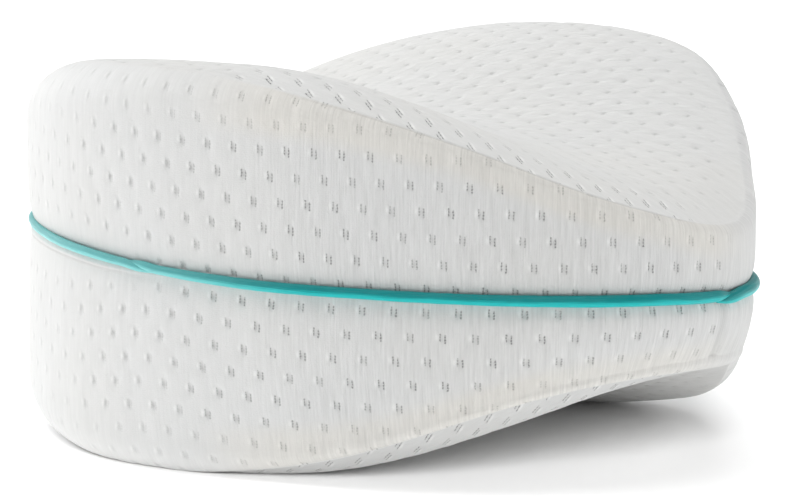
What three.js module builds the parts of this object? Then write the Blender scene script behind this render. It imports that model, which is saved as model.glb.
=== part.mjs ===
// Knee pillow: a filled cushion with a leg saddle across its top and another across its underside,
// and a corded piping in the seam around its side wall.
// Millimetres, +Z up. Both saddles run along Y. The wide lobe is on the -X side and the narrow one on +X.
// The model is centred on the origin in plan and rests on z = 0.
import * as THREE from 'three';

// Half heights above and below the middle plane.
const lobeHalfHeight = 72.0;
const saddleHalfHeight = 44.3;
const lowerSaddleExtra = 2.8;
const restDepth = 69.0;

// Distance across the saddle from its centre line to the top of each lobe, and how much wider the
// saddle grows per millimetre towards its -Y mouth.
const wideLobeReach = 102.5;
const narrowLobeReach = 96.0;
const wideLobeFlare = -0.02;
const narrowLobeFlare = 0.16;

// Fall of each form at 100 mm from the middle along the saddle.
const fallDistance = 100;
const saddleFall = 9.8;
const wideLobeFrontFall = 23.8;
const wideLobeRearFall = 5.7;
const narrowLobeFrontFall = 14.4;
const narrowLobeRearFall = 16.2;

// The rim, seen from above. angle turns from the -Y mouth of the saddle towards -X.
// reach is the distance from the middle to the side wall, seam the height of the piping above the
// middle plane and edge the rounding of the wall into the panels. crown and sole are the falls of the
// top and bottom panels towards their edges, and tuck is how far the wall leans in at its foot.
const rim = [
  { angle: 0, reach: 140.3, seam: -3.9, edge: 5.1, crown: 8.8, sole: 0.0, tuck: 5.0 },
  { angle: 20, reach: 141.9, seam: -1.4, edge: 3.9, crown: 0.5, sole: 4.4, tuck: 7.5 },
  { angle: 40, reach: 128.3, seam: -0.8, edge: 3.6, crown: 2.7, sole: 12.0, tuck: 6.0 },
  { angle: 60, reach: 118.8, seam: -0.2, edge: 5.6, crown: 7.3, sole: 13.8, tuck: 6.4 },
  { angle: 80, reach: 117.1, seam: 0.4, edge: 9.5, crown: 7.7, sole: 12.6, tuck: 6.8 },
  { angle: 100, reach: 124.8, seam: 3.1, edge: 13.0, crown: 2.0, sole: 5.9, tuck: 3.8 },
  { angle: 120, reach: 135.1, seam: 7.1, edge: 15.8, crown: 0.8, sole: 1.5, tuck: 0.0 },
  { angle: 140, reach: 142.0, seam: 9.7, edge: 16.7, crown: 8.5, sole: 1.7, tuck: 0.0 },
  { angle: 160, reach: 142.1, seam: 9.1, edge: 12.1, crown: 2.7, sole: 3.7, tuck: 4.2 },
  { angle: 180, reach: 142.1, seam: 6.9, edge: 7.5, crown: 1.7, sole: 3.5, tuck: 3.7 },
  { angle: 200, reach: 137.9, seam: 4.3, edge: 8.4, crown: 2.5, sole: 3.0, tuck: 3.2 },
  { angle: 220, reach: 126.6, seam: 1.5, edge: 9.9, crown: 1.4, sole: 3.0, tuck: 2.1 },
  { angle: 240, reach: 113.0, seam: -1.0, edge: 10.3, crown: 0.0, sole: 3.1, tuck: 2.1 },
  { angle: 260, reach: 102.8, seam: -2.9, edge: 10.3, crown: 0.0, sole: 3.4, tuck: 3.3 },
  { angle: 280, reach: 103.7, seam: -4.5, edge: 9.7, crown: 0.0, sole: 5.2, tuck: 5.2 },
  { angle: 300, reach: 109.3, seam: -5.6, edge: 9.1, crown: 0.0, sole: 3.7, tuck: 5.7 },
  { angle: 320, reach: 113.3, seam: -5.5, edge: 8.7, crown: 3.0, sole: 0.0, tuck: 3.5 },
  { angle: 340, reach: 121.8, seam: -3.1, edge: 6.8, crown: 2.7, sole: 1.8, tuck: 3.1 },
];
const crownWidth = 30;

// Piping: a covered cord in two lengths, half sunk in the seam.
const cordRadius = 2.2;
const cordInset = 0.4;
const cordGap = 0.35;
const cordSides = 8;
const seamPull = 2.0;
const frontCordFrom = 5.0;
const frontCordTo = 100.5;
const joinGap = 0.35;
const tipScale = 0.7;
const tipLength = 0.4;

// Mesh steps.
const stations = 80;
const panelRings = 8;
const edgeSteps = 4;
const wallSteps = 4;
const grooveSteps = 4;

const fullTurn = 360;
const { clamp } = THREE.MathUtils;
const radians = THREE.MathUtils.degToRad;

// One column of the rim table at any angle, by a smooth curve through its rows.
function rimValue(column, angle) {
  const step = fullTurn / rim.length;
  const place = THREE.MathUtils.euclideanModulo(angle, fullTurn) / step;
  const row = Math.floor(place);
  const t = place - row;
  const value = (offset) => rim[(row + offset + rim.length) % rim.length][column];
  const [before, here, next, after] = [value(-1), value(0), value(1), value(2)];
  const slopeHere = (next - before) / 2;
  const slopeNext = (after - here) / 2;
  return here * (1 + 2 * t) * (1 - t) ** 2 + slopeHere * t * (1 - t) ** 2
    + next * t * t * (3 - 2 * t) + slopeNext * t * t * (t - 1);
}

function rimPoint(angle) {
  const reach = rimValue('reach', angle);
  return new THREE.Vector2(-reach * Math.sin(radians(angle)), -reach * Math.cos(radians(angle)));
}

// Direction from the side wall into the cushion, square to the wall.
function rimInward(angle) {
  const along = rimPoint(angle + 1).sub(rimPoint(angle - 1)).normalize();
  return new THREE.Vector2(along.y, -along.x);
}

// Half height of the saddle and its two lobes at a place in the plan.
function halfHeight(x, y, extra) {
  const wide = x < 0;
  const reach = wide ? wideLobeReach - wideLobeFlare * y : narrowLobeReach - narrowLobeFlare * y;
  const frontFall = wide ? wideLobeFrontFall : narrowLobeFrontFall;
  const rearFall = wide ? wideLobeRearFall : narrowLobeRearFall;
  const along = (y / fallDistance) ** 2;
  const crest = lobeHalfHeight - (y < 0 ? frontFall : rearFall) * along;
  const floor = saddleHalfHeight + extra - saddleFall * along;
  const climb = (1 - Math.cos(Math.PI * clamp(Math.abs(x) / reach, 0, 1))) / 2;
  return floor + (crest - floor) * climb;
}

// Height of a panel at a place that lies inset from the rim.
function panelHeight(place, edgeFall, inset, extra) {
  return halfHeight(place.x, place.y, extra) - edgeFall * Math.max(0, 1 - inset / crownWidth) ** 2;
}

function insetPoint(angle, inset) {
  return rimPoint(angle).add(rimInward(angle).multiplyScalar(inset));
}

// The rings of one half of the section at one angle, from the panel's middle out and down to the seam.
// side is 1 for the upper half and -1 for the lower half.
function halfSection(angle, side) {
  const extra = side < 0 ? lowerSaddleExtra : 0;
  const edge = rimValue('edge', angle);
  const lean = side < 0 ? rimValue('tuck', angle) : 0;
  const edgeFall = rimValue(side < 0 ? 'sole' : 'crown', angle);
  const seam = rimValue('seam', angle);
  const heightLimit = side < 0 ? restDepth : Infinity;
  const points = [];
  const keep = (place, height) => {
    points.push(new THREE.Vector3(place.x, place.y, side * Math.min(height, heightLimit)));
  };
  const panelEdge = insetPoint(angle, edge + lean);
  const reach = panelEdge.length();
  for (let ring = 1; ring <= panelRings; ring += 1) {
    const share = ring / panelRings;
    const place = panelEdge.clone().multiplyScalar(share);
    keep(place, panelHeight(place, edgeFall, edge + reach * (1 - share), extra));
  }
  const edgeFoot = panelHeight(panelEdge, edgeFall, edge, extra) - edge;
  for (let step = 1; step <= edgeSteps; step += 1) {
    const turn = Math.PI / 2 * (1 - step / edgeSteps);
    keep(insetPoint(angle, lean + edge * (1 - Math.cos(turn))), edgeFoot + edge * Math.sin(turn));
  }
  const grooveTurn = Math.acos((seamPull - cordInset) / (cordRadius + cordGap));
  const grooveHalf = (cordRadius + cordGap) * Math.sin(grooveTurn);
  const bandFoot = side * seam + grooveHalf;
  for (let step = 1; step < wallSteps; step += 1) {
    const share = 1 - step / wallSteps;
    const draw = seamPull * (1 - share) ** 4 + lean * share ** 2;
    keep(insetPoint(angle, draw), bandFoot + (edgeFoot - bandFoot) * share);
  }
  return points;
}

// The seam's groove, from its upper lip round the back of the cord to its lower lip.
function grooveSection(angle) {
  const seam = rimValue('seam', angle);
  const grooveRadius = cordRadius + cordGap;
  const grooveTurn = Math.acos((seamPull - cordInset) / grooveRadius);
  const points = [];
  for (let step = 0; step <= grooveSteps; step += 1) {
    const turn = grooveTurn * (1 - 2 * step / grooveSteps);
    const place = insetPoint(angle, cordInset + grooveRadius * Math.cos(turn));
    points.push(new THREE.Vector3(place.x, place.y, seam + grooveRadius * Math.sin(turn)));
  }
  return points;
}

// A closed mesh from rings of equal length, with its two ends closed by a point each.
function closedMesh(rings, firstEnd, lastEnd) {
  const size = rings[0].length;
  const points = [firstEnd, ...rings.flat(), lastEnd];
  const faces = [];
  for (let place = 0; place < size; place += 1) {
    const next = (place + 1) % size;
    faces.push(0, 1 + place, 1 + next);
    for (let ring = 0; ring < rings.length - 1; ring += 1) {
      const a = 1 + ring * size + place;
      const b = 1 + ring * size + next;
      faces.push(a, a + size, b, b, a + size, b + size);
    }
    const lastRing = 1 + (rings.length - 1) * size;
    faces.push(lastRing + place, points.length - 1, lastRing + next);
  }
  const geometry = new THREE.BufferGeometry();
  const numbers = points.flatMap((point) => point.toArray());
  geometry.setAttribute('position', new THREE.Float32BufferAttribute(numbers, 3));
  geometry.setIndex(faces);
  return geometry;
}

function cushionGeometry() {
  const angles = Array.from({ length: stations }, (unused, index) => -index * fullTurn / stations);
  const sections = angles.map((angle) => [
    ...halfSection(angle, 1),
    ...grooveSection(angle),
    ...halfSection(angle, -1).reverse(),
  ]);
  const rings = sections[0].map((unused, index) => sections.map((section) => section[index]));
  const top = new THREE.Vector3(0, 0, saddleHalfHeight);
  const bottom = new THREE.Vector3(0, 0, -saddleHalfHeight - lowerSaddleExtra);
  return closedMesh(rings, top, bottom);
}

// The cord's section at one station of the rim, about its centre.
function stationRing(station) {
  const angle = station * fullTurn / stations;
  return Array.from({ length: cordSides }, (unused, side) => {
    const turn = -2 * Math.PI * side / cordSides;
    const place = insetPoint(angle, cordInset - cordRadius * Math.cos(turn));
    return new THREE.Vector3(place.x, place.y, rimValue('seam', angle) + cordRadius * Math.sin(turn));
  });
}

// The cord runs straight between stations, as the groove does, and narrows to its tips.
function cordRing(place, scale) {
  const station = Math.floor(place);
  const next = stationRing(station + 1);
  const ring = stationRing(station).map((point, side) => point.lerp(next[side], place - station));
  const centre = ringCentre(ring);
  return ring.map((point) => point.lerp(centre, 1 - scale));
}

function ringCentre(ring) {
  const total = ring.reduce((sum, point) => sum.add(point), new THREE.Vector3());
  return total.divideScalar(ring.length);
}

// One length of piping between two angles, with a narrowed tip at each end.
function cordGeometry(fromAngle, toAngle) {
  const from = fromAngle * stations / fullTurn;
  const to = toAngle * stations / fullTurn;
  const rings = [cordRing(from, tipScale), cordRing(from + tipLength, 1)];
  for (let station = Math.ceil(from + tipLength); station < to - tipLength; station += 1) {
    rings.push(cordRing(station, 1));
  }
  rings.push(cordRing(to - tipLength, 1), cordRing(to, tipScale));
  return closedMesh(rings, ringCentre(rings[0]), ringCentre(rings.at(-1)));
}

const knit = new THREE.MeshStandardMaterial({ color: 0xe9eaea, roughness: 0.95, metalness: 0 });
const teal = new THREE.MeshStandardMaterial({ color: 0x1fa3a6, roughness: 0.5, metalness: 0 });

const halfJoin = THREE.MathUtils.radToDeg(joinGap / rimValue('reach', frontCordTo)) / 2;
const pieces = [
  ['cushion', cushionGeometry(), knit],
  ['piping_front', cordGeometry(frontCordFrom + halfJoin, frontCordTo - halfJoin), teal],
  ['piping_back', cordGeometry(frontCordTo + halfJoin, frontCordFrom + fullTurn - halfJoin), teal],
];

// Centre the whole model in plan and stand it on z = 0.
const box = new THREE.Box3();
pieces.forEach(([, geometry]) => {
  geometry.computeBoundingBox();
  box.union(geometry.boundingBox);
});
const middle = box.getCenter(new THREE.Vector3());

const group = new THREE.Group();
pieces.forEach(([name, geometry, material]) => {
  geometry.translate(-middle.x, -middle.y, -box.min.z);
  geometry.computeVertexNormals();
  const mesh = new THREE.Mesh(geometry, material);
  mesh.name = name;
  group.add(mesh);
});

export default group;
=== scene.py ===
"""Knee pillow: a foam pillow in a knitted cover, with a leg saddle across its top and another across its
underside, and a satin piping in the seam around its side wall. Metres, +Z up, at rest on the floor."""

import math

import bpy
import numpy as np
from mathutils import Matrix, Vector


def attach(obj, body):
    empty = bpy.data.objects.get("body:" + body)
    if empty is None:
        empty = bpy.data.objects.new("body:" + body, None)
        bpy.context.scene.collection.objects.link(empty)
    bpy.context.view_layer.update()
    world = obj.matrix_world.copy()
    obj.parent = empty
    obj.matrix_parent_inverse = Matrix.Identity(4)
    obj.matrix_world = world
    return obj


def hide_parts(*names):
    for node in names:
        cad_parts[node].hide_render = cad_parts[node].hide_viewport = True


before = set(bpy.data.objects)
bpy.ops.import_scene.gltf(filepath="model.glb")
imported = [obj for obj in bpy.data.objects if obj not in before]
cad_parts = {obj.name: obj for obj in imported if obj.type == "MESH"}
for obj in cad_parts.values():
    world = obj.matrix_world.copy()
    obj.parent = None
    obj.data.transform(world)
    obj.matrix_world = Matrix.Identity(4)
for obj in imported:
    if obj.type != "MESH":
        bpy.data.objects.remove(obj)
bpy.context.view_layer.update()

bl_info = {
    "name": "Knee Pillow",
    "version": (1, 0, 0),
    "blender": (4, 5, 0),
    "location": "View3D > Sidebar > Knee Pillow",
    "description": "Builds a knee pillow with a knitted cover and a satin piping",
    "category": "Add Mesh",
}

MM = 0.001
FULL_TURN = 360.0

# Half heights of the foam above and below its middle plane, and the depth at which it rests flat.
LOBE_HALF_HEIGHT = 72.0 * MM
SADDLE_HALF_HEIGHT = 44.3 * MM
LOWER_SADDLE_EXTRA = 2.8 * MM
REST_DEPTH = 69.0 * MM

# Reach of each lobe's crest from the saddle's centre line, and how fast it changes towards the -Y mouth.
WIDE_LOBE_REACH = 102.5 * MM
NARROW_LOBE_REACH = 96.0 * MM
WIDE_LOBE_FLARE = -0.02
NARROW_LOBE_FLARE = 0.16

# Falls at one fall distance from the middle, along the saddle.
FALL_DISTANCE = 100.0 * MM
SADDLE_FALL = 9.8 * MM
WIDE_FRONT_FALL = 23.8 * MM
WIDE_REAR_FALL = 5.7 * MM
NARROW_FRONT_FALL = 14.4 * MM
NARROW_REAR_FALL = 16.2 * MM
CROWN_WIDTH = 30.0 * MM

# The rim every 20 degrees, turning from the -Y mouth towards -X, in millimetres.
RIM_COLUMNS = ("reach", "seam", "edge", "crown", "sole", "tuck")
RIM_ROWS = (
    (140.3, -3.9, 5.1, 8.8, 0.0, 5.0),
    (141.9, -1.4, 3.9, 0.5, 4.4, 7.5),
    (128.3, -0.8, 3.6, 2.7, 12.0, 6.0),
    (118.8, -0.2, 5.6, 7.3, 13.8, 6.4),
    (117.1, 0.4, 9.5, 7.7, 12.6, 6.8),
    (124.8, 3.1, 13.0, 2.0, 5.9, 3.8),
    (135.1, 6.6, 15.8, 0.8, 1.5, 0.0),
    (142.0, 8.5, 16.7, 8.5, 1.7, 0.0),
    (142.1, 7.9, 12.1, 2.7, 3.7, 4.2),
    (142.1, 6.9, 7.5, 1.7, 3.5, 3.7),
    (137.9, 4.3, 8.4, 2.5, 3.0, 3.2),
    (126.6, 1.5, 9.9, 1.4, 3.0, 2.1),
    (113.0, -1.0, 10.3, 0.0, 3.1, 2.1),
    (102.8, -2.9, 10.3, 0.0, 3.4, 3.3),
    (103.7, -4.5, 9.7, 0.0, 5.2, 5.2),
    (109.3, -5.6, 9.1, 0.0, 3.7, 5.7),
    (113.3, -5.5, 8.7, 3.0, 0.0, 3.5),
    (121.8, -3.1, 6.8, 2.7, 1.8, 3.1),
)
RIM = {name: np.array([row[i] for row in RIM_ROWS]) * MM for i, name in enumerate(RIM_COLUMNS)}
PLAN_MIDDLE = np.array([-10.254, 0.232]) * MM

# Piping. An arc of the rim is its two ends and their softness, in degrees.
CORD_INSET = 0.4 * MM
CORD_GAP = 0.2 * MM
CORD_SPACING = 1.2 * MM
CORNER_SINK = 1.7 * MM
CORNER_SINK_ARC = (-60, -11, 4)
ROUND_END_SINK = 1.3 * MM
ROUND_END_SINK_ARC = (124, 175, 12)
THICK_ARC = (0, 36, 14)
THICKEST_ARC = (-13, 2, 5)
THIN_ARC = (92, 175, 10)
END_SIZE = 0.25
END_TAPER = (-2 * MM, 9 * MM)
END_SLOPE = (2 * MM, 16 * MM)
RIM_LENGTH = 800.0 * MM
SEAM_PULL = 2.0 * MM
CORNER_JOIN = (3.4, 6.6)
ROUND_END_JOIN = (97.4, 103.2)

# The satin: how fine its folds and threads are, and where along Y and X its painted sheen grows, in metres.
FOLDS_FINENESS = (70.0, 4.5, 1.0)
THREADS_FINENESS = (1500.0, 14.0, 1.0)
PAINTED_SHEEN_ALONG = (-0.045, 0.03)
PAINTED_SHEEN_ACROSS = (0.0, -0.06)

# Knitted marks: spacing along a row, spacing of the rows and lean of the columns on each piece of cloth,
# with the place of one mark on it.
MARK_PITCH = 10.1 * MM
MARK_ROW = 8.5 * MM
UPPER_BAND_CLOTH = {"pitch": 9.93 * MM, "row": 8.74 * MM, "lean": 0.139, "across": 2.56 * MM, "up": 2.44 * MM}
LOWER_BAND_CLOTH = {"pitch": 11.0 * MM, "row": 8.35 * MM, "lean": -0.03, "across": 6.49 * MM, "up": 2.34 * MM}
LOWER_ROW_RISE = 0.02
LOWER_ROW_LEVEL = 150.0 * MM
PANEL_ACROSS = np.array([1.153, 0.0425])
PANEL_UP = np.array([0.0747, 0.985])
PANEL_MARK = np.array([6.17, -1.02]) * MM
PANEL_LEAN = 0.6
PANEL_DENT_WIDENING = 0.5
ROUND_END_ROW_DROP = 9.0 * MM

# One mark, in millimetres on the cloth: its hollow, its two strokes and the painted highlight beside them.
MIDDLE = (0.0, 0.0)
BAND_HOLLOW_SIZE = (0.7, 1.5)
PANEL_HOLLOW_SIZE = (0.85, 0.8)
UPPER_STROKE_PLACE = (0.75, 0.3)
LOWER_STROKE_PLACE = (-0.75, -0.3)
STROKE_HALF_LENGTH = 1.25
PAINTED_GLINT_PLACE = (1.7, 0.2)
PAINTED_GLINT_SIZE = (0.55, 1.2)

# How fine the knit's textures are across and up, per millimetre, and how far the puffs are turned.
WALES_FINENESS = (1.3, 0.06, 1.0)
BROAD_FINENESS = (0.32, 0.03, 1.0)
LOOPS_FINENESS = (2.2, 1.4, 1.0)
PUFFS_FINENESS = (0.11, 0.34, 1.0)
PUFF_TURN = 0.87

# Arcs of the rim where the cloth or its marks change.
PLAIN_ARC = (-20, 4.5, 3)
ROUND_END_ARC = (76, 158, 12)
BARE_ARC = (99, 165, 6)
FAINT_STROKES_ARC = (90, 158, 14)
SHALLOW_DENTS_ARC = (112, 150, 8)
WARM_ARC = (6, 84, 10)
PANEL_FRONT_ARC = (9, 84, 6)
PANEL_CORNER_ARC = (-60, 9, 6)

# Seams of the cover. The upright ones' places and the corner one's width are in degrees.
BACK_SEAM_ANGLE = 215.0
CORNER_SEAM_ANGLE = 4.6
CORNER_SEAM_WIDTH = 0.7
CORNER_SEAM_DEPTH = 0.8 * MM
PANEL_SEAM_WIDTH = 0.5 * MM
PANEL_SEAM_DEPTH = 0.45 * MM
CRISP_SEAM_ARCS = ((12, 74, 5), (170, 285, 12))

# The narrow fold of cloth under the piping, at the wide lobe's round end.
FOLD_ARC = (102, 146, 10)
FOLD_WIDTH = 1.6 * MM
FOLD_THICKNESS = 0.6 * MM

# How high the sky's white horizon reaches: the rise where it starts to fade and where it is gone.
HORIZON_FADE = (0.08, 0.35)

# Camera that matches the photograph.
IMAGE_WIDTH = 800
CAMERA_AZIMUTH = math.radians(-49.968)
CAMERA_ELEVATION = math.radians(8.658)
CAMERA_DISTANCE = 1.4
CAMERA_TARGET = Vector((-0.000227, 0.000652, 0.069))
CAMERA_LENS = 175.97
CAMERA_SHIFT = (-2.356 / IMAGE_WIDTH, -6.312 / IMAGE_WIDTH)


def rim_value(column, angle):
    """One column of the rim table at any angle, by a smooth curve through its rows."""
    values = RIM[column]
    count = len(values)
    place = np.asarray(angle, float) % FULL_TURN / (FULL_TURN / count)
    row = np.floor(place).astype(int)
    t = place - row
    before, here, after, beyond = (values[(row + k) % count] for k in (-1, 0, 1, 2))
    slope_here, slope_after = (after - before) / 2, (beyond - here) / 2
    return (
        here * (1 + 2 * t) * (1 - t) ** 2
        + slope_here * t * (1 - t) ** 2
        + after * t * t * (3 - 2 * t)
        + slope_after * t * t * (t - 1)
    )


def rim_point(angle):
    reach, turn = rim_value("reach", angle), np.radians(angle)
    return np.stack([-reach * np.sin(turn), -reach * np.cos(turn)], -1)


def inset_point(angle, inset):
    """The point in plan that lies inset from the side wall, measured square to it."""
    along = rim_point(angle + 1) - rim_point(angle - 1)
    along /= np.linalg.norm(along, axis=-1, keepdims=True)
    inward = np.stack([along[..., 1], -along[..., 0]], -1)
    return rim_point(angle) + inward * np.asarray(inset)[..., None]


def half_height(place, extra):
    x, y = place[..., 0], place[..., 1]
    wide = x < 0
    reach = np.where(wide, WIDE_LOBE_REACH - WIDE_LOBE_FLARE * y, NARROW_LOBE_REACH - NARROW_LOBE_FLARE * y)
    front = np.where(wide, WIDE_FRONT_FALL, NARROW_FRONT_FALL)
    rear = np.where(wide, WIDE_REAR_FALL, NARROW_REAR_FALL)
    along = (y / FALL_DISTANCE) ** 2
    crest = LOBE_HALF_HEIGHT - np.where(y < 0, front, rear) * along
    floor = SADDLE_HALF_HEIGHT + extra - SADDLE_FALL * along
    climb = (1 - np.cos(np.pi * np.clip(np.abs(x) / reach, 0, 1))) / 2
    return floor + (crest - floor) * climb


def panel_height(place, edge_fall, inset, extra):
    return half_height(place, extra) - edge_fall * np.clip(1 - inset / CROWN_WIDTH, 0, None) ** 2


def smooth_step(low, high, value):
    t = np.clip((np.asarray(value, float) - low) / (high - low), 0, 1)
    return t * t * (3 - 2 * t)


def angle_gap(angle, centre):
    """Signed difference of two angles, in degrees."""
    return (np.asarray(angle) - centre + FULL_TURN / 2) % FULL_TURN - FULL_TURN / 2


def window(low, high, soft, angle):
    """1 between two angles and 0 outside them, with soft ends."""
    gap = angle_gap(angle, (low + high) / 2)
    half = (high - low) / 2
    return 1 - smooth_step(half - soft, half + soft, np.abs(gap))


def band_marks(angle, below_edge, beyond_seam):
    """How strongly a side band shows its strokes, dents, warm tone, the foam's waves and its wales."""
    plain = window(*PLAIN_ARC, angle)
    round_end = window(*ROUND_END_ARC, angle)
    near_edge = 1 - smooth_step(2 * MM, 10 * MM, below_edge)
    bare = window(*BARE_ARC, angle) * (1 - smooth_step(5 * MM, 10 * MM, beyond_seam))
    faint = window(*FAINT_STROKES_ARC, angle)
    strokes = (1 - plain) * (1 - 0.8 * faint) * (1 - 0.45 * near_edge) * (1 - bare)
    dents = (1 - plain) * (0.55 + 0.45 * round_end) * (1 - bare) * (1 - 0.4 * near_edge)
    dents = dents * (1 - 0.5 * window(*SHALLOW_DENTS_ARC, angle))
    warmth = near_edge * window(*WARM_ARC, angle) + 0.25
    waves = smooth_step(0.5 * MM, 6 * MM, beyond_seam) + 0 * strokes
    return np.column_stack([strokes, dents, warmth, waves, 1 - 0.65 * round_end])


def panel_marks(angle, inset):
    """The same for the top and bottom panels, whose strokes show near the front seam alone."""
    near_seam = 1 - smooth_step(12 * MM, 26 * MM, inset)
    front = window(*PANEL_FRONT_ARC, angle)
    corner = window(*PANEL_CORNER_ARC, angle) * (1 - smooth_step(6 * MM, 16 * MM, inset))
    strokes = (1.1 * near_seam * front + 0.06) * (1 - corner)
    dents = (0.7 - 0.35 * near_seam * front) * (1 - corner)
    warmth, waves, wales = (value + 0 * strokes for value in (0.35, 1, 0.3))
    return np.column_stack([strokes, dents, warmth, waves, wales])


def groove_shape(cover):
    """Radius of the groove behind the cord, and the angle from its middle to either lip."""
    radius = cover.cord_radius + CORD_GAP
    return radius, math.acos((SEAM_PULL - CORD_INSET) / radius)


def half_rings(angle, side, cover):
    """Rings of the upper (side 1) or lower (side -1) half, from the panel's middle out and down to the seam.
    Each is (points, station step, zone, crease, marks), where zone is 0 on the panel and 1 on the band."""
    extra = LOWER_SADDLE_EXTRA if side < 0 else 0.0
    edge = rim_value("edge", angle)
    lean = rim_value("tuck", angle) if side < 0 else np.zeros_like(angle)
    edge_fall = rim_value("sole" if side < 0 else "crown", angle)
    limit = REST_DEPTH if side < 0 else math.inf
    panel_edge = inset_point(angle, edge + lean)
    reach = np.linalg.norm(panel_edge, axis=-1)
    rings = []

    def keep(place, height, step, zone, crease, marks):
        height = np.minimum(height, limit)
        rings.append((np.column_stack([place, side * height]), step, zone, crease + 0 * angle, marks))

    for ring in range(1, cover.panel_rings + 1):
        share = ring / cover.panel_rings
        step = 1 if share > 0.52 else 2 if share > 0.27 else 4 if share > 0.12 else 8
        place = panel_edge * share
        inset = edge + reach * (1 - share)
        keep(place, panel_height(place, edge_fall, inset, extra), step, 0, 0.0, panel_marks(angle, inset))

    # Over the rounded edge, with the panel's seam, which is crisp in two arcs of the rim and faint elsewhere.
    foot = panel_height(panel_edge, edge_fall, edge, extra) - edge
    seam_turn = math.radians(cover.seam_turn)
    crisp = sum(window(*arc, angle) for arc in CRISP_SEAM_ARCS)
    crisp = (1 - smooth_step(6 * MM, 14 * MM, edge)) * crisp * (0.45 if side < 0 else 1.0)
    for ring in range(1, cover.edge_rings + 1):
        turn = math.pi / 2 * (1 - ring / cover.edge_rings)
        away = (turn - seam_turn) * edge / PANEL_SEAM_WIDTH
        dip = np.exp(-away * away)
        radius = edge - PANEL_SEAM_DEPTH * dip * (0.12 + 0.88 * crisp)
        place = inset_point(angle, lean + edge - radius * np.cos(turn))
        if turn < seam_turn:
            zone, marks = 1, band_marks(angle, 0 * edge, 20 * MM)
        else:
            zone, marks = 0, panel_marks(angle, edge * (1 - math.cos(turn)))
        keep(place, foot + radius * np.sin(turn), 1, zone, dip * crisp, marks)

    # Down the side wall to the seam. The near rings follow the edge of the fold under the piping.
    groove_radius, groove_turn = groove_shape(cover)
    band_foot = side * rim_value("seam", angle) + groove_radius * math.sin(groove_turn)
    span = foot - band_foot
    lower_alone = 1.0 if side < 0 else 0.0
    fold = window(*FOLD_ARC, angle) * lower_alone
    fold_edge = 1.2 * MM + FOLD_WIDTH * fold
    corner = np.exp(-((angle_gap(angle, CORNER_SEAM_ANGLE) / CORNER_SEAM_WIDTH) ** 2)) * lower_alone
    near = [fold_edge + step * MM for step in (2.4, 1.2, 0.3, -0.2)] + [0.6 * fold_edge, 0.25 * fold_edge]
    far = [near[0] + (span - near[0]) * (1 - ring / cover.wall_rings) for ring in range(1, cover.wall_rings)]
    fold_line = len(far) + 2
    for index, away in enumerate((*far, *near)):
        share = away / span
        draw = SEAM_PULL * (1 - share) ** 7 + lean * share**2
        if index > fold_line:
            draw = draw - FOLD_THICKNESS * fold * np.minimum(1, away / (0.6 * fold_edge))
        # The fold's edge gets a crease value, which the knit material darkens as painted shade.
        line = 0.7 * fold if index == fold_line else 0 * fold
        marks = band_marks(angle, span - away, away)
        place = inset_point(angle, draw + CORNER_SEAM_DEPTH * corner)
        keep(place, band_foot + away, 1, 1, 0.6 * corner + line, marks)
    return rings


def groove_rings(angle, cover):
    """The seam's groove, from its upper lip round the back of the cord to its lower lip."""
    groove_radius, groove_turn = groove_shape(cover)
    seam = rim_value("seam", angle)
    rings = []
    for ring in range(cover.groove_rings + 1):
        turn = groove_turn * (1 - 2 * ring / cover.groove_rings)
        place = inset_point(angle, CORD_INSET + groove_radius * math.cos(turn) + 0 * angle)
        zone = 1 if turn > 0 else 2
        height = seam + groove_radius * math.sin(turn)
        rings.append((np.column_stack([place, height]), 1, zone, 0 * angle, np.zeros((len(angle), 5))))
    return rings


def cloth_cell(across, up, cloth):
    """Place on a band's cloth counted in marks: one unit across per mark, one unit up per row."""
    up = up - cloth["up"]
    across = across - cloth["across"] + cloth["lean"] * up
    return np.stack([across / cloth["pitch"], up / cloth["row"]], -1)


def panel_cell(place):
    across = place @ PANEL_ACROSS - PANEL_MARK[0]
    up = place @ PANEL_UP - PANEL_MARK[1]
    return np.stack([across / MARK_PITCH, up / MARK_ROW], -1)


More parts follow.
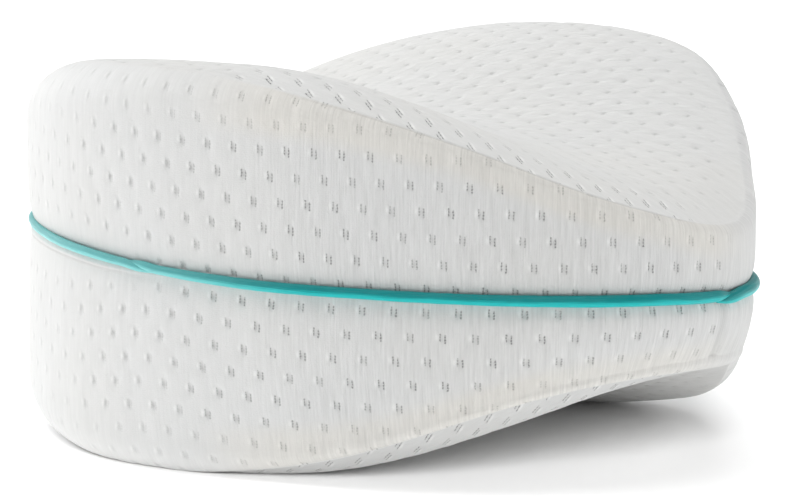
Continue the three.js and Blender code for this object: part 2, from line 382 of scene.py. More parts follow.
def cover_arrays(cover):
    """Vertices, faces and cloth coordinates of the closed cover."""
    count = cover.stations
    angle = -np.arange(count) * FULL_TURN / count
    upper = half_rings(angle, 1, cover)
    lower = [(p, s, 3 - z, c, m) for p, s, z, c, m in half_rings(angle, -1, cover)][::-1]
    rings = upper + groove_rings(angle, cover) + lower

    # Distance along the rim, measured every tenth of a degree, and up the section from the seam.
    fine = np.linspace(0, FULL_TURN, 3601)
    steps = np.linalg.norm(np.diff(rim_point(fine), axis=0), axis=1)
    around = np.concatenate([[0], np.cumsum(steps)])
    perimeter = around[-1]
    turned = angle % FULL_TURN
    along = np.interp(turned, fine, around)
    along_upper = np.where(turned > BACK_SEAM_ANGLE, along - perimeter, along)
    along_lower = np.where(turned < CORNER_SEAM_ANGLE, along + perimeter, along)

    points = np.array([r[0] for r in rings])
    lengths = np.linalg.norm(np.diff(points, axis=0), axis=2)
    travelled = np.concatenate([np.zeros((1, count)), np.cumsum(lengths, axis=0)])
    middle = len(upper) + cover.groove_rings // 2
    up = travelled[middle] - travelled
    drop = ROUND_END_ROW_DROP * smooth_step(96, 122, turned) * (1 - smooth_step(170, 200, turned))

    vertices, cells_panel, cells_band, creases, marks, firsts, sizes = [], [], [], [], [], [], []
    for index, (ring, step, zone, crease, mark) in enumerate(rings):
        firsts.append(sum(sizes))
        sizes.append(count // step)
        take = slice(None, None, step)
        vertices.append(ring[take])
        cells_panel.append(panel_cell(ring[take, :2]))
        if index <= middle:
            band = cloth_cell(along_upper, up[index], UPPER_BAND_CLOTH)
        else:
            rise = LOWER_ROW_RISE * np.clip(LOWER_ROW_LEVEL - along, 0, None)
            band = cloth_cell(along_lower, up[index] + drop - rise, LOWER_BAND_CLOTH)
        cells_band.append(band[take])
        creases.append(crease[take])
        marks.append(mark[take])
    total = sum(sizes)
    poles = np.array([[0, 0, SADDLE_HALF_HEIGHT], [0, 0, -SADDLE_HALF_HEIGHT - LOWER_SADDLE_EXTRA]])
    vertices = np.concatenate([*vertices, poles])
    cells_panel = np.concatenate([*cells_panel, panel_cell(poles[:, :2])])
    cells_band = np.concatenate([*cells_band, np.zeros((2, 2))])
    creases = np.concatenate([*creases, np.zeros(2)])
    marks = np.concatenate([*marks, np.tile(marks[0][:1], (2, 1))])

    faces, zones = [], []

    def face(corners, zone):
        faces.append(corners)
        zones.append(zone)

    for k in range(sizes[0]):
        face((total, firsts[0] + k, firsts[0] + (k + 1) % sizes[0]), 0)
    for index in range(len(rings) - 1):
        a, b = firsts[index], firsts[index + 1]
        n, m = sizes[index], sizes[index + 1]
        zone = rings[index + 1][2] if index < middle else rings[index][2]
        if n == m:
            for k in range(n):
                j = (k + 1) % n
                face((a + k, b + k, b + j, a + j), zone)
        elif m == 2 * n:
            for k in range(n):
                j = (k + 1) % n
                left, mid, right = b + 2 * k, b + 2 * k + 1, b + (2 * k + 2) % m
                face((a + k, left, mid), zone)
                face((a + k, mid, a + j), zone)
                face((a + j, mid, right), zone)
        else:
            for k in range(m):
                j = (k + 1) % m
                left, mid, right = a + 2 * k, a + 2 * k + 1, a + (2 * k + 2) % n
                face((left, b + k, mid), zone)
                face((mid, b + k, b + j), zone)
                face((mid, b + j, right), zone)
    last = firsts[-1]
    for k in range(sizes[-1]):
        face((last + k, total + 1, last + (k + 1) % sizes[-1]), 3)

    vertices = vertices + [-PLAN_MIDDLE[0], -PLAN_MIDDLE[1], REST_DEPTH]
    return vertices, faces, np.array(zones), cells_panel, cells_band, creases, marks, perimeter


def build_cover_mesh(cover):
    vertices, faces, zones, cells_panel, cells_band, creases, marks, perimeter = cover_arrays(cover)
    mesh = bpy.data.meshes.new("cushion_cover")
    mesh.from_pydata(vertices.tolist(), [], faces)

    # Corner coordinates: each face takes the cloth that it is cut from.
    starts = np.empty(len(mesh.polygons), int)
    mesh.polygons.foreach_get("loop_start", starts)
    totals = np.empty(len(mesh.polygons), int)
    mesh.polygons.foreach_get("loop_total", totals)
    corner_vertex = np.empty(len(mesh.loops), int)
    mesh.loops.foreach_get("vertex_index", corner_vertex)
    corner_face = np.repeat(np.arange(len(totals)), totals)
    panel = ((zones == 0) | (zones == 3))[corner_face]
    corners = np.where(panel[:, None], cells_panel[corner_vertex], cells_band[corner_vertex])
    pitch = np.where(zones == 1, UPPER_BAND_CLOTH["pitch"], LOWER_BAND_CLOTH["pitch"])
    whole = (perimeter / pitch)[corner_face]
    jump = np.round((corners[starts][corner_face][:, 0] - corners[:, 0]) / whole)
    corners[:, 0] += np.where(panel, 0, jump * whole)
    mesh.uv_layers.new(name="Cloth").data.foreach_set("uv", corners.astype(np.float32).ravel())
    strokes, _, warmth, _, wales = marks[corner_vertex].T
    band_lean = np.where(zones == 1, UPPER_BAND_CLOTH["lean"], LOWER_BAND_CLOTH["lean"])[corner_face]
    lean = np.where(panel, PANEL_LEAN * np.minimum(1, strokes), band_lean)
    # The bottom panel, which the knit material darkens with a painted shade.
    sole = (zones == 3)[corner_face]
    for name, columns in (("weave", (strokes, lean, warmth)), ("knit", (wales, panel, sole))):
        values = np.column_stack(columns).astype(np.float32).ravel()
        mesh.attributes.new(name, "FLOAT_VECTOR", "CORNER").data.foreach_set("vector", values)

    # Point coordinates for the dents, which fade out along every seam.
    point_panel = np.zeros(len(vertices), bool)
    point_panel[corner_vertex[panel]] = True
    point_band = np.zeros(len(vertices), bool)
    point_band[corner_vertex[~panel]] = True
    cell = np.where(point_panel[:, None], cells_panel, cells_band)
    values = np.column_stack([cell, marks[:, 1] * ~(point_panel & point_band)]).astype(np.float32)
    mesh.attributes.new("cell", "FLOAT_VECTOR", "POINT").data.foreach_set("vector", values.ravel())
    for name, values in (("crease", creases), ("waves", marks[:, 3])):
        values = values.astype(np.float32)
        mesh.attributes.new(name, "FLOAT", "POINT").data.foreach_set("value", values)
    mesh.update()
    return mesh


def node(tree, kind, inputs=None, **settings):
    """Adds a node, sets its options and fills or links its inputs."""
    made = tree.nodes.new(kind)
    for name, value in settings.items():
        setattr(made, name, value)
    for key, value in (inputs or {}).items():
        if isinstance(value, bpy.types.NodeSocket):
            tree.links.new(value, made.inputs[key])
        else:
            made.inputs[key].default_value = value
    return made


def calc(tree, operation, *values):
    return node(tree, "ShaderNodeMath", dict(enumerate(values)), operation=operation).outputs[0]


def split(tree, vector):
    return node(tree, "ShaderNodeSeparateXYZ", {0: vector}).outputs


def join(tree, **parts):
    return node(tree, "ShaderNodeCombineXYZ", parts).outputs[0]


def scaled(tree, vector, factor):
    return node(tree, "ShaderNodeVectorMath", {0: vector, "Scale": factor}, operation="SCALE").outputs[0]


def stretched(tree, vector, factors):
    return node(tree, "ShaderNodeVectorMath", {0: vector, 1: factors}, operation="MULTIPLY").outputs[0]


def ramp(tree, value, low, high):
    """0 at low, 1 at high, smooth between them."""
    limits = {"Value": value, "From Min": low, "From Max": high, "To Min": 0.0, "To Max": 1.0}
    return node(tree, "ShaderNodeMapRange", limits, interpolation_type="SMOOTHSTEP").outputs["Result"]


def mark_place(tree, across, up, lean, pitch, row_height):
    """Distance across and up from the nearest mark of a brick-bonded pattern, with its column and row."""
    row = calc(tree, "ROUND", up)
    odd = calc(tree, "FLOORED_MODULO", row, 2.0)
    shifted = calc(tree, "SUBTRACT", across, calc(tree, "MULTIPLY", odd, 0.5))
    column = calc(tree, "ROUND", shifted)
    beside = calc(tree, "MULTIPLY", calc(tree, "SUBTRACT", shifted, column), pitch)
    above = calc(tree, "MULTIPLY", calc(tree, "SUBTRACT", up, row), row_height)
    beside = calc(tree, "SUBTRACT", beside, calc(tree, "MULTIPLY", above, lean))
    return beside, above, column, row


def bell(tree, beside, above, centre, width, height):
    """A soft oval spot: 1 at its centre and 0 well outside."""
    wide = calc(tree, "DIVIDE", calc(tree, "SUBTRACT", beside, centre[0]), width)
    tall = calc(tree, "DIVIDE", calc(tree, "SUBTRACT", above, centre[1]), height)
    spread = calc(tree, "ADD", calc(tree, "MULTIPLY", wide, wide), calc(tree, "MULTIPLY", tall, tall))
    return calc(tree, "EXPONENT", calc(tree, "MULTIPLY", spread, -1.0))


def new_group(name, inputs):
    """A Geometry Nodes tree with a geometry input and output and the named inputs given."""
    tree = bpy.data.node_groups.new(name, "GeometryNodeTree")
    tree.interface.new_socket("Geometry", in_out="INPUT", socket_type="NodeSocketGeometry")
    for label, kind, value in inputs:
        socket = tree.interface.new_socket(label, in_out="INPUT", socket_type=kind)
        if value is not None:
            socket.default_value = value
    tree.interface.new_socket("Geometry", in_out="OUTPUT", socket_type="NodeSocketGeometry")
    return tree, tree.nodes.new("NodeGroupInput").outputs, tree.nodes.new("NodeGroupOutput").inputs


def named(tree, name, kind):
    """A named attribute, read in a Geometry Nodes tree."""
    return node(tree, "GeometryNodeInputNamedAttribute", {"Name": name}, data_type=kind).outputs["Attribute"]


def stored(tree, geometry, name, kind, value):
    """The geometry with a value kept under a name on its points."""
    inputs = {"Geometry": geometry, "Name": name, "Value": value}
    made = node(tree, "GeometryNodeStoreNamedAttribute", inputs, data_type=kind, domain="POINT")
    return made.outputs[0]


def finish_group(tree, geometry, material, result):
    """Ends a tree: smooth shading, real geometry and its material."""
    smooth = node(tree, "GeometryNodeSetShadeSmooth", {"Geometry": geometry})
    solid = node(tree, "GeometryNodeRealizeInstances", {"Geometry": smooth.outputs[0]})
    painted = node(tree, "GeometryNodeSetMaterial", {"Geometry": solid.outputs[0], "Material": material})
    tree.links.new(painted.outputs[0], result["Geometry"])


def apply_group(piece, tree, values):
    """Runs a tree on a piece and keeps the plain mesh that it makes."""
    modifier = piece.modifiers.new(tree.name, "NODES")
    modifier.node_group = tree
    for item in tree.interface.items_tree:
        if item.item_type == "SOCKET" and item.in_out == "INPUT" and item.name in values:
            modifier[item.identifier] = values[item.name]
    view = bpy.context.evaluated_depsgraph_get()
    mesh = bpy.data.meshes.new_from_object(piece.evaluated_get(view), depsgraph=view)
    piece.modifiers.remove(modifier)
    made = bpy.data.objects.new(piece.name, mesh)
    name = piece.name
    bpy.data.objects.remove(piece)
    made.name = name
    mesh.name = name
    bpy.context.scene.collection.objects.link(made)
    return made


def dent_tree():
    """Geometry Nodes: a soft dent at every knitted mark, and the slight waves of the foam."""
    tree, given, result = new_group(
        "Knitted dents",
        [
            ("Mark pitch", "NodeSocketFloat", MARK_PITCH),
            ("Row height", "NodeSocketFloat", MARK_ROW),
            ("Dent depth", "NodeSocketFloat", 0.7 * MM),
            ("Dent width", "NodeSocketFloat", 1.3 * MM),
            ("Dent height", "NodeSocketFloat", 2.1 * MM),
            ("Waves", "NodeSocketFloat", 0.7 * MM),
            ("Seed", "NodeSocketFloat", 3.0),
            ("Cloth", "NodeSocketMaterial", None),
        ],
    )

    cell, weave, knit = (split(tree, named(tree, name, "FLOAT_VECTOR")) for name in ("cell", "weave", "knit"))
    beside, above, column, row = mark_place(
        tree, cell["X"], cell["Y"], weave["Y"], given["Mark pitch"], given["Row height"]
    )
    wider = calc(tree, "MULTIPLY", knit["Y"], given["Dent width"])
    width = calc(tree, "MULTIPLY_ADD", wider, PANEL_DENT_WIDENING, given["Dent width"])
    dent = bell(tree, beside, above, MIDDLE, width, given["Dent height"])
    mark = {"Vector": join(tree, X=column, Y=row), "W": given["Seed"]}
    chance = node(tree, "ShaderNodeTexWhiteNoise", mark, noise_dimensions="4D").outputs["Value"]
    dent = calc(tree, "MULTIPLY", dent, calc(tree, "MULTIPLY_ADD", chance, 0.5, 0.7))
    dent = calc(tree, "MULTIPLY", calc(tree, "MULTIPLY", dent, given["Dent depth"]), cell["Z"])
    broad = {"W": given["Seed"], "Scale": 30.0, "Detail": 2.0, "Roughness": 0.5}
    noise = node(tree, "ShaderNodeTexNoise", broad, noise_dimensions="4D").outputs["Fac"]
    waves = calc(tree, "MULTIPLY", calc(tree, "SUBTRACT", noise, 0.5), given["Waves"])
    waves = calc(tree, "MULTIPLY", waves, named(tree, "waves", "FLOAT"))
    lift = calc(tree, "SUBTRACT", waves, dent)
    offset = scaled(tree, node(tree, "GeometryNodeInputNormal").outputs["Normal"], lift)
    moved = node(tree, "GeometryNodeSetPosition", {"Geometry": given["Geometry"], "Offset": offset})

    # Nothing goes through the floor that the pillow rests on.
    place = split(tree, node(tree, "GeometryNodeInputPosition").outputs[0])
    above_floor = join(tree, X=place["X"], Y=place["Y"], Z=calc(tree, "MAXIMUM", place["Z"], 0.0))
    rested = node(tree, "GeometryNodeSetPosition", {"Geometry": moved.outputs[0], "Position": above_floor})
    finish_group(tree, rested.outputs[0], given["Cloth"], result)
    return tree


def new_material(name, color, roughness):
    material = bpy.data.materials.new(name)
    material.use_nodes = True
    shader = material.node_tree.nodes["Principled BSDF"]
    shader.inputs["Base Color"].default_value = (*color, 1.0)
    shader.inputs["Roughness"].default_value = roughness
    return material, material.node_tree, shader


def stroke(tree, beside, above, centre, half_length, half_width, softness):
    """A short upright knitted stroke: 1 inside it and 0 outside."""
    dx = calc(tree, "ABSOLUTE", calc(tree, "SUBTRACT", beside, centre[0]))
    dy = calc(tree, "ABSOLUTE", calc(tree, "SUBTRACT", above, centre[1]))
    dy = calc(tree, "MAXIMUM", calc(tree, "SUBTRACT", dy, half_length), 0.0)
    squares = calc(tree, "ADD", calc(tree, "MULTIPLY", dx, dx), calc(tree, "MULTIPLY", dy, dy))
    gap = calc(tree, "SQRT", squares)
    return ramp(tree, gap, half_width + softness, half_width - softness)


def mix_color(tree, factor, first, second):
    """Mixes two colours; the colour sockets are the third pair of a Mix node."""
    return node(tree, "ShaderNodeMix", {"Factor": factor, 6: first, 7: second}, data_type="RGBA").outputs[2]


def noise_value(tree, place, scale, detail, stretch=None, roughness=0.5):
    if stretch:
        place = stretched(tree, place, stretch)
    inputs = {"Vector": place, "Scale": scale, "Detail": detail, "Roughness": roughness}
    return node(tree, "ShaderNodeTexNoise", inputs).outputs["Fac"]


def attribute(tree, name, output="Vector"):
    """A named attribute, read in a material."""
    made = node(tree, "ShaderNodeAttribute", attribute_name=name, attribute_type="GEOMETRY")
    return made.outputs[output]


def link_bump(tree, shader, relief):
    """Gives a material a relief in millimetres."""
    bump = node(tree, "ShaderNodeBump", {"Height": relief, "Strength": 1.0, "Distance": MM})
    tree.links.new(bump.outputs["Normal"], shader.inputs["Normal"])


def knit_material(cover):
    """Off-white knitted jersey: paired strokes at each mark, uneven wales and a fine loop texture."""
    material, tree, shader = new_material("Knit", tuple(cover.knit_color), 0.95)
    shader.inputs["Sheen Weight"].default_value = 0.08
    shader.inputs["Sheen Roughness"].default_value = 0.5
    shader.inputs["Specular IOR Level"].default_value = 0.2

    parts = split(tree, node(tree, "ShaderNodeUVMap", uv_map="Cloth").outputs["UV"])
    weave = split(tree, attribute(tree, "weave"))
    dented = split(tree, attribute(tree, "cell"))["Z"]
    knit = split(tree, attribute(tree, "knit"))
    panel = knit["Y"]
    band = calc(tree, "SUBTRACT", 1.0, panel)
    crease = calc(tree, "MINIMUM", attribute(tree, "crease", "Fac"), 1.0)

    # Millimetres on the cloth, with a band's wales upright.
    across = calc(tree, "MULTIPLY", parts["X"], MARK_PITCH / MM)
    up = calc(tree, "MULTIPLY", parts["Y"], MARK_ROW / MM)
    band_lean = calc(tree, "MULTIPLY", weave["Y"], band)
    across = calc(tree, "SUBTRACT", across, calc(tree, "MULTIPLY", up, band_lean))
    flat = join(tree, X=across, Y=up)

    beside, above, column, row = mark_place(
        tree, parts["X"], parts["Y"], weave["Y"], MARK_PITCH / MM, MARK_ROW / MM
    )
    # The hollow at each mark: a bump in the relief, and a painted shade in the dent's colour.
    band_hollow = calc(tree, "MULTIPLY", bell(tree, beside, above, MIDDLE, *BAND_HOLLOW_SIZE), band)
    panel_hollow = calc(tree, "MULTIPLY", bell(tree, beside, above, MIDDLE, *PANEL_HOLLOW_SIZE), panel)
    hollow = calc(tree, "MULTIPLY", calc(tree, "MAXIMUM", band_hollow, panel_hollow), dented)
    wobble = noise_value(tree, flat, 1.1, 1.0)
    beside = calc(tree, "ADD", beside, calc(tree, "MULTIPLY_ADD", wobble, 0.5, -0.25))
    mark = {"Vector": join(tree, X=column, Y=row)}
    chance = node(tree, "ShaderNodeTexWhiteNoise", mark, noise_dimensions="2D").outputs["Value"]

    # Two strokes at each mark, longer on a panel, with beads along them and a painted highlight beside them.
    above = calc(tree, "MULTIPLY", above, calc(tree, "MULTIPLY_ADD", panel, -0.35, 1.0))
    upper = stroke(tree, beside, above, UPPER_STROKE_PLACE, STROKE_HALF_LENGTH, 0.18, 0.2)
    lower = stroke(tree, beside, above, LOWER_STROKE_PLACE, STROKE_HALF_LENGTH, 0.22, 0.22)
    both = calc(tree, "MAXIMUM", calc(tree, "MULTIPLY", upper, 0.9), lower)
    beads = calc(tree, "SINE", calc(tree, "MULTIPLY_ADD", chance, 6.0, calc(tree, "MULTIPLY", above, 6.4)))
    for share in (
        calc(tree, "MULTIPLY_ADD", beads, 0.32, 0.68),
        calc(tree, "MULTIPLY_ADD", chance, 0.3, 0.7),
        weave["X"],
        calc(tree, "SUBTRACT", 1.0, crease),
    ):
        both = calc(tree, "MULTIPLY", both, share)
    # Painted highlight: a bright spot beside each mark, stronger where the marks are dented.
    painted_glint_strength = calc(tree, "MAXIMUM", weave["X"], calc(tree, "MULTIPLY", dented, band))
    painted_glint = calc(tree, "MULTIPLY", bell(tree, beside, above, PAINTED_GLINT_PLACE, *PAINTED_GLINT_SIZE), painted_glint_strength)

    # Wales narrow and broad, and the loops of the knit.
    wales = noise_value(tree, flat, 1.0, 3.0, WALES_FINENESS, 0.65)
    broad = noise_value(tree, flat, 1.0, 2.0, BROAD_FINENESS)
    grid = {"Vector": stretched(tree, flat, LOOPS_FINENESS), "Scale": 1.0, "Randomness": 0.6}
    loops = node(tree, "ShaderNodeTexVoronoi", grid).outputs["Distance"]

    # Colour: a cool and a warm tone, darker in the strokes; painted shade in the dents, on the bottom panel
    # and in the creases of the seams and the fold, with the seams' own dark line; a painted highlight beside
    # each mark.
    place = node(tree, "ShaderNodeTexCoord").outputs["Object"]
    drift = ramp(tree, noise_value(tree, place, 14.0, 2.0), 0.35, 0.65)
    warm = calc(tree, "MULTIPLY", weave["Z"], calc(tree, "MULTIPLY_ADD", drift, 0.5, 0.7))
    warm = calc(tree, "MINIMUM", warm, 1.0)
    base = mix_color(tree, warm, (*cover.knit_color, 1.0), (*cover.knit_tint, 1.0))
    wales = calc(tree, "MULTIPLY", calc(tree, "SUBTRACT", wales, 0.5), knit["X"])
    shade = calc(tree, "MULTIPLY_ADD", wales, 0.42, calc(tree, "MULTIPLY_ADD", knit["X"], -0.08, 1.03))
    for amount, factor, rest in (
        (broad, 0.10, 0.95),
        # Painted shade over the whole bottom panel.
        (knit["Z"], -cover.sole_painted_shade, 1.0),
        (both, -cover.mark_darkness, 1.0),
        # Painted shade in each dent.
        (hollow, -cover.dent_painted_shade, 1.0),
        # Painted highlight beside each mark.
        (painted_glint, 0.15, 1.0),
        # Darker in the creases of the seams and the fold: partly the seams' own dark line, partly painted
        # shade in the creases.
        (crease, -0.2, 1.0),
    ):
        shade = calc(tree, "MULTIPLY", shade, calc(tree, "MULTIPLY_ADD", amount, factor, rest))
    tree.links.new(scaled(tree, base, shade), shader.inputs["Base Color"])

    # Relief, in millimetres.
    turn = {"Vector": flat, "Angle": PUFF_TURN}
    turned = node(tree, "ShaderNodeVectorRotate", turn, rotation_type="Z_AXIS").outputs[0]
    puffs = calc(tree, "MULTIPLY", noise_value(tree, turned, 1.0, 1.5, PUFFS_FINENESS), panel)
    relief = calc(tree, "MULTIPLY", both, -0.3)
    for amount, height in ((hollow, -0.45), (wales, 0.26), (puffs, 0.55), (loops, -0.07)):
        relief = calc(tree, "MULTIPLY_ADD", amount, height, relief)
    link_bump(tree, shader, relief)
    return material


def satin_material(piping):
    """Teal satin over a cord: folds that run along it, with a painted shade on its upper side and a painted
    sheen at the wide lobe's round end.
    """
    material, tree, shader = new_material("Satin", tuple(piping.satin_color), 0.34)
    shader.inputs["Specular IOR Level"].default_value = 0.22
    place = attribute(tree, "cord")
    facing = split(tree, place)["Y"]
    folds = noise_value(tree, place, 1.0, 2.0, FOLDS_FINENESS)
    threads = noise_value(tree, place, 1.0, 1.0, THREADS_FINENESS)
    # Painted shade on the cord's upper side, broken up by its folds.
    turned = calc(tree, "MULTIPLY_ADD", folds, 1.1, calc(tree, "SUBTRACT", facing, 0.55))
    upper_shade = ramp(tree, turned, -0.35, 0.25)
    color = mix_color(tree, upper_shade, (*piping.satin_color, 1.0), (*piping.satin_upper_shade, 1.0))

    # Painted sheen at the wide lobe's round end, weaker where the painted shade on the upper side lies.
    spot = split(tree, node(tree, "ShaderNodeTexCoord").outputs["Object"])
    painted_sheen_share = calc(tree, "MULTIPLY", ramp(tree, spot["Y"], *PAINTED_SHEEN_ALONG), ramp(tree, spot["X"], *PAINTED_SHEEN_ACROSS))
    painted_sheen_share = calc(tree, "MULTIPLY", painted_sheen_share, calc(tree, "MULTIPLY_ADD", upper_shade, -0.45, 0.8))
    color = mix_color(tree, painted_sheen_share, color, (*piping.satin_painted_sheen, 1.0))
    tree.links.new(color, shader.inputs["Base Color"])
    link_bump(tree, shader, calc(tree, "MULTIPLY_ADD", folds, 0.45, calc(tree, "MULTIPLY", threads, 0.05)))
    return material


def floor_material(stage):
    material, _, shader = new_material("Floor", tuple(stage.floor_color), 0.9)
    shader.inputs["Specular IOR Level"].default_value = 0.1
    return material


def piping_tree():
    """Geometry Nodes: a round cord swept along the seam, with the small puckers of its cloth."""
    tree, given, result = new_group(
        "Corded piping",
        [
            ("Cord radius", "NodeSocketFloat", 2.0 * MM),
            ("Sides", "NodeSocketInt", 24),
            ("Pucker", "NodeSocketFloat", 0.25 * MM),
            ("Seed", "NodeSocketFloat", 5.0),
            ("Satin", "NodeSocketMaterial", None),
        ],
    )
    circle = {"Resolution": given["Sides"], "Radius": given["Cord radius"]}
    section = node(tree, "GeometryNodeCurvePrimitiveCircle", circle)
    length = node(tree, "GeometryNodeSplineParameter").outputs["Length"]
    swept = node(
        tree,
        "GeometryNodeCurveToMesh",
        {
            "Curve": stored(tree, given["Geometry"], "along", "FLOAT", length),
            "Profile Curve": section.outputs[0],
            "Scale": node(tree, "GeometryNodeInputRadius").outputs[0],
            "Fill Caps": True,
        },
    )
    normal = node(tree, "GeometryNodeInputNormal").outputs["Normal"]
    place = join(tree, X=named(tree, "along", "FLOAT"), Y=split(tree, normal)["Z"])
    marked = stored(tree, swept.outputs[0], "cord", "FLOAT_VECTOR", place)
    fine = {"W": given["Seed"], "Scale": 130.0, "Detail": 2.0}
    noise = node(tree, "ShaderNodeTexNoise", fine, noise_dimensions="4D").outputs["Fac"]
    lift = calc(tree, "MULTIPLY", calc(tree, "SUBTRACT", noise, 0.55), given["Pucker"])
    offset = scaled(tree, normal, lift)
    moved = node(tree, "GeometryNodeSetPosition", {"Geometry": marked, "Offset": offset})
    finish_group(tree, moved.outputs[0], given["Satin"], result)
    return tree


def cord_path(name, start, end, start_rise, end_rise):
    """An open curve along the seam from one angle to another, with tapered ends that rise or dip."""
    count = int(abs(end - start) / FULL_TURN * RIM_LENGTH / CORD_SPACING)
    angle = np.linspace(start, end, count)
    sink = CORNER_SINK * window(*CORNER_SINK_ARC, angle) + ROUND_END_SINK * window(*ROUND_END_SINK_ARC, angle)
    place = inset_point(angle, CORD_INSET + sink) - PLAN_MIDDLE
    reach = float(rim_value("reach", start))
    from_start = np.radians(angle - start) * reach
    from_end = np.radians(end - angle) * reach
    height = rim_value("seam", angle) + REST_DEPTH
    height = height + start_rise * (1 - smooth_step(*END_SLOPE, from_start))
    height = height + end_rise * (1 - smooth_step(*END_SLOPE, from_end))
    near = np.minimum(from_start, from_end)
    size = END_SIZE + (1 - END_SIZE) * smooth_step(*END_TAPER, near)
    thicker = 0.1 * window(*THICK_ARC, angle) + 0.2 * window(*THICKEST_ARC, angle)
    size = size * (1 + thicker - 0.16 * window(*THIN_ARC, angle))
    curve = bpy.data.curves.new(name, "CURVE")
    curve.dimensions = "3D"
    line = curve.splines.new("POLY")
    line.points.add(count - 1)
    line.points.foreach_set("co", np.column_stack([place, height, np.ones(count)]).ravel())
    line.points.foreach_set("radius", size)
    piece = bpy.data.objects.new(name, curve)
    bpy.context.scene.collection.objects.link(piece)
    return piece


class KneePillowCover(bpy.types.PropertyGroup):
    stations: bpy.props.IntProperty(
        name="Stations", description="Vertices around the rim, a multiple of eight", default=560, min=64
    )
    panel_rings: bpy.props.IntProperty(
        name="Panel rings", description="Rings from a panel's middle to its edge", default=60, min=16
    )
    edge_rings: bpy.props.IntProperty(
        name="Edge rings", description="Rings over each rounded edge", default=10, min=4
    )
    wall_rings: bpy.props.IntProperty(
        name="Wall rings", description="Rings down each side band", default=28, min=8
    )
    groove_rings: bpy.props.IntProperty(
        name="Groove rings", description="Rings behind the piping, an even number", default=8, min=4
    )
    cord_radius: bpy.props.FloatProperty(
        name="Groove size", description="Radius of the cord that the seam takes",
        default=1.85 * MM, unit="LENGTH",
    )
    seam_turn: bpy.props.FloatProperty(
        name="Seam place",
        description="Where the panel seam lies on the rounded edge, in degrees up from the wall",
        default=66.0,
    )
    dent_depth: bpy.props.FloatProperty(
        name="Dent depth", description="Depth of the dent at each knitted mark",
        default=0.85 * MM, unit="LENGTH",
    )
    waves: bpy.props.FloatProperty(
        name="Waves", description="Height of the foam's slight waves", default=0.7 * MM, unit="LENGTH"
    )
    knit_color: bpy.props.FloatVectorProperty(
        name="Knit", description="Cool main colour of the knitted cover", default=(0.655, 0.662, 0.664),
        subtype="COLOR", min=0, max=1,
    )
    knit_tint: bpy.props.FloatVectorProperty(
        name="Knit tint", description="Warmer tone of the cover along its edges",
        default=(0.68, 0.666, 0.632), subtype="COLOR", min=0, max=1,
    )
    # Strength of the painted shade on the bottom panel.
    sole_painted_shade: bpy.props.FloatProperty(
        name="Sole painted shade", description="How far painted shade darkens the bottom panel's cloth",
        default=0.16, min=0, max=1,
    )
    mark_darkness: bpy.props.FloatProperty(
        name="Mark darkness", description="How far a knitted stroke darkens the cloth",
        default=0.7, min=0, max=1,
    )
    # Strength of the painted shade in each dent.
    dent_painted_shade: bpy.props.FloatProperty(
        name="Dent painted shade", description="How far painted shade in a dent darkens the cloth", default=0.14, min=0, max=1
    )


class KneePillowPiping(bpy.types.PropertyGroup):
    cord_radius: bpy.props.FloatProperty(
        name="Cord radius", description="Radius of the covered cord", default=1.85 * MM, unit="LENGTH"
    )
    pucker: bpy.props.FloatProperty(
        name="Pucker", description="Height of the small puckers in its cloth", default=0.3 * MM, unit="LENGTH"
    )
    satin_color: bpy.props.FloatVectorProperty(
        name="Satin", description="Main colour of the piping", default=(0.012, 0.47, 0.47),
        subtype="COLOR", min=0, max=1,
    )
    # Colour of the painted shade on the piping's upper side.
    satin_upper_shade: bpy.props.FloatVectorProperty(
        name="Satin upper shade", description="Painted shade on the piping's upper side", default=(0.0, 0.235, 0.24),
        subtype="COLOR", min=0, max=1,
    )
    # Colour of the painted sheen on the piping at the wide lobe's round end.
    satin_painted_sheen: bpy.props.FloatVectorProperty(
        name="Satin painted sheen", description="Painted sheen on the piping at the wide lobe's round end",
        default=(0.3, 0.68, 0.68), subtype="COLOR", min=0, max=1,
    )


class KneePillowStage(bpy.types.PropertyGroup):
    floor_size: bpy.props.FloatProperty(
        name="Floor size", description="Width of the plain floor", default=24.0, unit="LENGTH"
    )
    floor_color: bpy.props.FloatVectorProperty(
        name="Floor", description="Colour of the plain floor", default=(0.84, 0.84, 0.84),
        subtype="COLOR", min=0, max=1,
    )
    sky: bpy.props.FloatProperty(
        name="Sky", description="Strength of the even light from above", default=0.14, min=0
    )
    horizon: bpy.props.FloatProperty(
        name="Horizon", description="Strength of the light at the horizon", default=1.0, min=0
    )
    key: bpy.props.FloatProperty(
        name="Key", description="Strength of the broad light overhead", default=1.95, min=0
    )
    left_fill: bpy.props.FloatProperty(
        name="Left fill", description="Strength of the broad light at the left", default=2.05, min=0
    )
    right_fill: bpy.props.FloatProperty(
        name="Right fill", description="Strength of the broad light at the right", default=0.8, min=0
    )
    floor_wash: bpy.props.FloatProperty(
        name="Floor wash", description="Strength of the low light that falls on the floor alone",
        default=4.4, min=0,
    )


class KNEEPILLOW_OT_cover(bpy.types.Operator):
    """Makes the knitted cover over its foam and puts it in the place of the plain cushion"""

    bl_idname = "kneepillow.cover"
    bl_label = "Cover"

    def execute(self, context):
        cover = context.scene.knee_pillow_cover
        piece = bpy.data.objects.new("cushion_cover", build_cover_mesh(cover))
        context.scene.collection.objects.link(piece)
        piece = apply_group(
            piece,
            dent_tree(),
            {"Dent depth": cover.dent_depth, "Waves": cover.waves, "Cloth": knit_material(cover)},
        )
        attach(piece, "root")
        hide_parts("cushion")
        return {"FINISHED"}


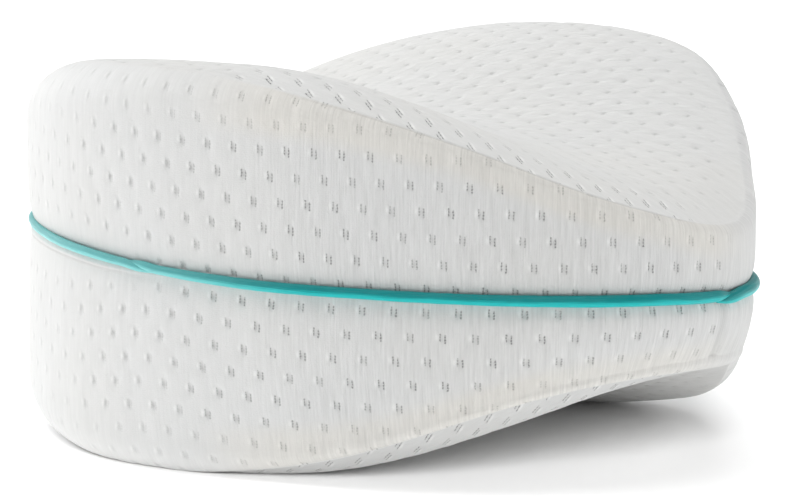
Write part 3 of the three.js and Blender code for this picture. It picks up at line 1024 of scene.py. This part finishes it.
class KNEEPILLOW_OT_piping(bpy.types.Operator):
    """Lays both lengths of satin piping in the seam around the side wall"""

    bl_idname = "kneepillow.piping"
    bl_label = "Piping"

    def execute(self, context):
        piping = context.scene.knee_pillow_piping
        satin = satin_material(piping)
        corner, round_end = CORNER_JOIN, ROUND_END_JOIN
        lengths = (
            ("front_piping", "piping_front", corner[0], round_end[1], 0.3 * MM, 0.8 * MM),
            ("back_piping", "piping_back", round_end[0], corner[1] + FULL_TURN, -0.8 * MM, -1.5 * MM),
        )
        for name, replaced, start, end, start_rise, end_rise in lengths:
            piece = apply_group(
                cord_path(name, start, end, start_rise, end_rise),
                piping_tree(),
                {"Cord radius": piping.cord_radius, "Pucker": piping.pucker, "Satin": satin},
            )
            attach(piece, "root")
            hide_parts(replaced)
        return {"FINISHED"}


class KNEEPILLOW_OT_stage(bpy.types.Operator):
    """Sets the plain floor, the soft studio light and the camera"""

    bl_idname = "kneepillow.stage"
    bl_label = "Stage"

    def execute(self, context):
        stage = context.scene.knee_pillow_stage
        half = stage.floor_size / 2
        mesh = bpy.data.meshes.new("floor")
        corners = [(-half, -half, 0), (half, -half, 0), (half, half, 0), (-half, half, 0)]
        mesh.from_pydata(corners, [], [(0, 1, 2, 3)])
        mesh.materials.append(floor_material(stage))
        floor = bpy.data.objects.new("floor", mesh)
        context.scene.collection.objects.link(floor)

        # Even light from above that grows to white at the horizon.
        world = bpy.data.worlds.new("Studio")
        world.use_nodes = True
        tree = world.node_tree
        rise = split(tree, node(tree, "ShaderNodeTexCoord").outputs["Generated"])["Z"]
        share = ramp(tree, rise, *HORIZON_FADE)
        strength = calc(tree, "MULTIPLY_ADD", share, stage.sky - stage.horizon, stage.horizon)
        tree.nodes["Background"].inputs["Color"].default_value = (1.0, 1.0, 1.0, 1.0)
        tree.links.new(strength, tree.nodes["Background"].inputs["Strength"])
        context.scene.world = world

        washed = bpy.data.collections.new("Floor alone")
        washed.objects.link(floor)
        for name, direction, spread, strength, lit in (
            ("Key", (-0.3, 0.1, 2.0), 55, stage.key, None),
            ("Left fill", (-0.38, 1.8, 0.8), 65, stage.left_fill, None),
            ("Right fill", (1.39, -1.19, 0.8), 55, stage.right_fill, None),
            ("Floor wash", (-0.766, -0.643, 0.42), 20, stage.floor_wash, washed),
        ):
            light = bpy.data.lights.new(name, "SUN")
            light.energy = strength
            light.angle = math.radians(spread)
            lamp = bpy.data.objects.new(name, light)
            lamp.rotation_euler = Vector(direction).to_track_quat("Z", "Y").to_euler()
            lamp.light_linking.receiver_collection = lit
            context.scene.collection.objects.link(lamp)

        camera = bpy.data.objects.new("Camera", bpy.data.cameras.new("Camera"))
        turn, rise = CAMERA_AZIMUTH, CAMERA_ELEVATION
        away = Vector((math.sin(turn) * math.cos(rise), -math.cos(turn) * math.cos(rise), math.sin(rise)))
        camera.location = CAMERA_TARGET + away * CAMERA_DISTANCE
        camera.rotation_euler = (-away).to_track_quat("-Z", "Y").to_euler()
        camera.data.lens = CAMERA_LENS
        camera.data.shift_x, camera.data.shift_y = CAMERA_SHIFT
        camera.data.clip_start, camera.data.clip_end = 0.05, 50.0
        context.scene.collection.objects.link(camera)
        context.scene.camera = camera
        context.scene.view_settings.view_transform = "Standard"
        return {"FINISHED"}


class KNEEPILLOW_PT_sidebar(bpy.types.Panel):
    bl_label = "Knee Pillow"
    bl_idname = "KNEEPILLOW_PT_sidebar"
    bl_space_type = "VIEW_3D"
    bl_region_type = "UI"
    bl_category = "Knee Pillow"

    def draw(self, context):
        for operator, group in (
            (KNEEPILLOW_OT_cover, context.scene.knee_pillow_cover),
            (KNEEPILLOW_OT_piping, context.scene.knee_pillow_piping),
            (KNEEPILLOW_OT_stage, context.scene.knee_pillow_stage),
        ):
            box = self.layout.box()
            for name in group.bl_rna.properties.keys():
                if name not in ("rna_type", "name"):
                    box.prop(group, name)
            box.operator(operator.bl_idname)


CLASSES = (
    KneePillowCover,
    KneePillowPiping,
    KneePillowStage,
    KNEEPILLOW_OT_cover,
    KNEEPILLOW_OT_piping,
    KNEEPILLOW_OT_stage,
    KNEEPILLOW_PT_sidebar,
)


def register():
    for cls in CLASSES:
        bpy.utils.register_class(cls)
    bpy.types.Scene.knee_pillow_cover = bpy.props.PointerProperty(type=KneePillowCover)
    bpy.types.Scene.knee_pillow_piping = bpy.props.PointerProperty(type=KneePillowPiping)
    bpy.types.Scene.knee_pillow_stage = bpy.props.PointerProperty(type=KneePillowStage)


def unregister():
    del bpy.types.Scene.knee_pillow_stage
    del bpy.types.Scene.knee_pillow_piping
    del bpy.types.Scene.knee_pillow_cover
    for cls in reversed(CLASSES):
        bpy.utils.unregister_class(cls)


def main():
    register()
    bpy.ops.kneepillow.cover()
    bpy.ops.kneepillow.piping()
    bpy.ops.kneepillow.stage()


if __name__ == "__main__":
    main()
